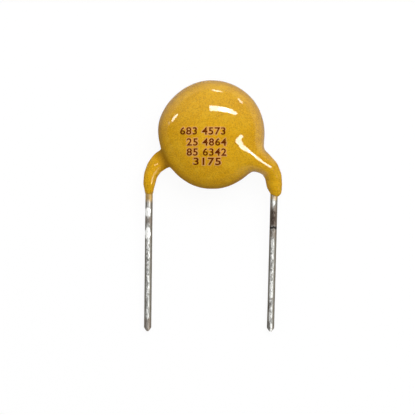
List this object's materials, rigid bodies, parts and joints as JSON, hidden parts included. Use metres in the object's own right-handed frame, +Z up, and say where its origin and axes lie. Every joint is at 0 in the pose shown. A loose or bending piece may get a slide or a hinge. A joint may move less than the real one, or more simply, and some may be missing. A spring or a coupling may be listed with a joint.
{
  "type": "ceramic disc capacitor",
  "caption": "Safety-class ceramic disc capacitor dipped in glossy ochre epoxy, lying on its back, with resin-coated legs and straight tinned radial leads for a printed circuit board.",
  "frame": {"origin": "centre of the bounding box, on the surface that the part lies on", "axes": "+Z up, +Y from the lead tips towards the disc, +X towards the front lead, with the printed front face up"},
  "size_m": [0.0112, 0.0202, 0.0051],
  "materials": {
    "ceramic": "matt, as fired",
    "silver": "matt fired silver",
    "tinned_wire": "tinned copper, dull and spotted",
    "solder": "satin",
    "epoxy": "glossy dipped resin"
  },
  "bodies": {
    "root": {"ceramic_disc": "ceramic", "front_electrode": "silver", "back_electrode": "silver", "front_lead": "tinned_wire", "back_lead": "tinned_wire", "front_solder": "solder", "back_solder": "solder", "epoxy_coating": "epoxy"}
  },
  "joints": []
}
